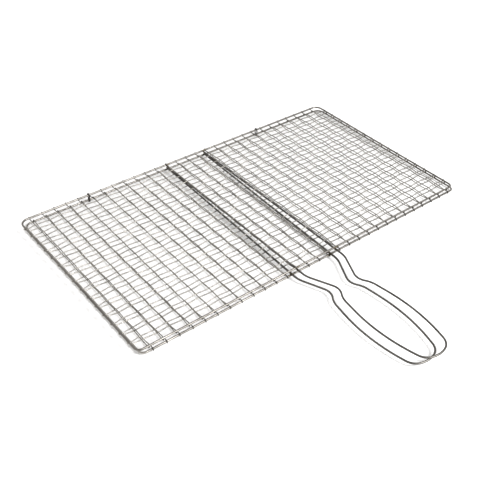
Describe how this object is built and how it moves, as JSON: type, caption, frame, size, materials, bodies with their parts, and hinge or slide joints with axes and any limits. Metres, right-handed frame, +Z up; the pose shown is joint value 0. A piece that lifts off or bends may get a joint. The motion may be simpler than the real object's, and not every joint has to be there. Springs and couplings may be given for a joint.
{
  "type": "grill basket",
  "caption": "Flat two-sided wire grill basket: two rectangular frames filled with woven square mesh, joined by wire clips along one edge, each with a long looped wire handle.",
  "frame": {"origin": "on the surface that the closed basket lies on, at the middle of its outline", "axes": "+X along the long sides of the panels, +Y towards the hinged edge (the handles leave towards -Y), +Z up, through the two panels"},
  "size_m": [0.4584, 0.4175, 0.0119],
  "materials": {
    "frame_wire": "drawn wire, slightly warm from heat",
    "handle_wire": "drawn wire, satin",
    "mesh_wire": "drawn wire, satin",
    "clip_wire": "drawn wire, darkened"
  },
  "bodies": {
    "lower_panel": {"lower_frame": "frame_wire", "lower_handle": "handle_wire", "lower_cross_wires_left": "mesh_wire", "lower_cross_wires_middle": "mesh_wire", "lower_cross_wires_right": "mesh_wire", "lower_long_wire_01": "mesh_wire", "lower_long_wire_02": "mesh_wire", "lower_long_wire_03": "mesh_wire", "lower_long_wire_04": "mesh_wire", "lower_long_wire_05": "mesh_wire", "lower_long_wire_06": "mesh_wire", "lower_long_wire_07": "mesh_wire", "lower_long_wire_08": "mesh_wire", "lower_long_wire_09": "mesh_wire", "lower_long_wire_10": "mesh_wire", "lower_long_wire_11": "mesh_wire", "lower_long_wire_12": "mesh_wire", "lower_long_wire_13": "mesh_wire", "lower_long_wire_14": "mesh_wire", "lower_long_wire_15": "mesh_wire"},
    "hinge_clips": {"left_hinge_clip": "clip_wire", "right_hinge_clip": "clip_wire"},
    "upper_panel": {"upper_frame": "frame_wire", "upper_handle": "handle_wire", "upper_cross_wires_left": "mesh_wire", "upper_cross_wires_middle": "mesh_wire", "upper_cross_wires_right": "mesh_wire", "upper_long_wire_01": "mesh_wire", "upper_long_wire_02": "mesh_wire", "upper_long_wire_03": "mesh_wire", "upper_long_wire_04": "mesh_wire", "upper_long_wire_05": "mesh_wire", "upper_long_wire_06": "mesh_wire", "upper_long_wire_07": "mesh_wire", "upper_long_wire_08": "mesh_wire", "upper_long_wire_09": "mesh_wire", "upper_long_wire_10": "mesh_wire", "upper_long_wire_11": "mesh_wire", "upper_long_wire_12": "mesh_wire", "upper_long_wire_13": "mesh_wire", "upper_long_wire_14": "mesh_wire", "upper_long_wire_15": "mesh_wire"}
  },
  "joints": [
    {"name": "clip_swing", "type": "hinge", "parent": "lower_panel", "child": "hinge_clips", "pos_m": [0, 0.20672, 0.00265], "axis": [-1, 0, 0], "range_deg": [0, 90]},
    {"name": "lid_swing", "type": "hinge", "parent": "hinge_clips", "child": "upper_panel", "pos_m": [0, 0.20672, 0.00925], "axis": [-1, 0, 0], "range_deg": [0, 90]}
  ]
}
